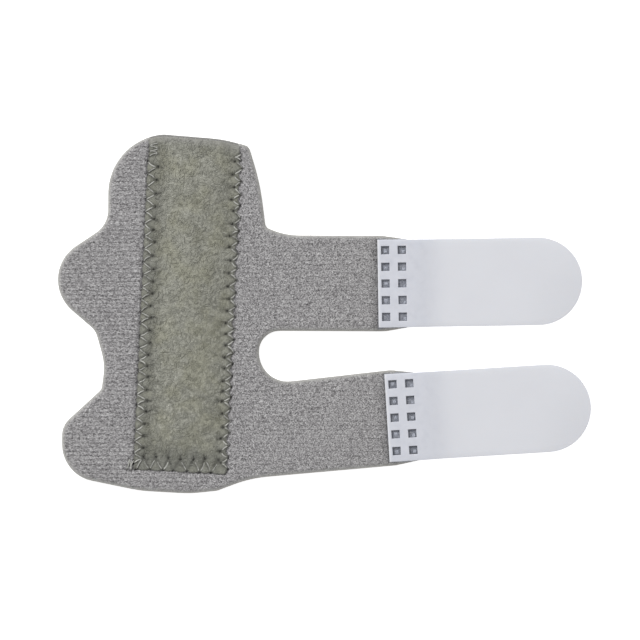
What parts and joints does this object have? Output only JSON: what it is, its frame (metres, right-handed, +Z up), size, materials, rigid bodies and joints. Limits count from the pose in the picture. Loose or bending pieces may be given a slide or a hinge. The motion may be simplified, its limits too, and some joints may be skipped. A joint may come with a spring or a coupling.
{
  "type": "finger splint",
  "caption": "Soft wrap splint for a finger, laid open: a knit wrap with rounded lobes and straps, a pile pocket sewn along the finger line and a hook tab welded to each strap.",
  "frame": {"origin": "middle of the finger line on the wrap's skin side, which lies on the surface", "axes": "+X along the straps towards the tabs, +Y along the finger towards its tip, +Z up out of the pocket's side"},
  "size_m": [0.1215, 0.0818, 0.0047],
  "materials": {
    "grey_knit": "heather grey knit face on foam, matt",
    "loop_pile": "brushed loop pile, greenish grey, matt",
    "hook_plastic": "milky white moulded sheet, satin"
  },
  "bodies": {
    "root": {"wrap_body": "grey_knit", "pocket_cloth": "loop_pile", "hook_tab_upper": "hook_plastic", "hook_tab_lower": "hook_plastic"}
  },
  "joints": []
}
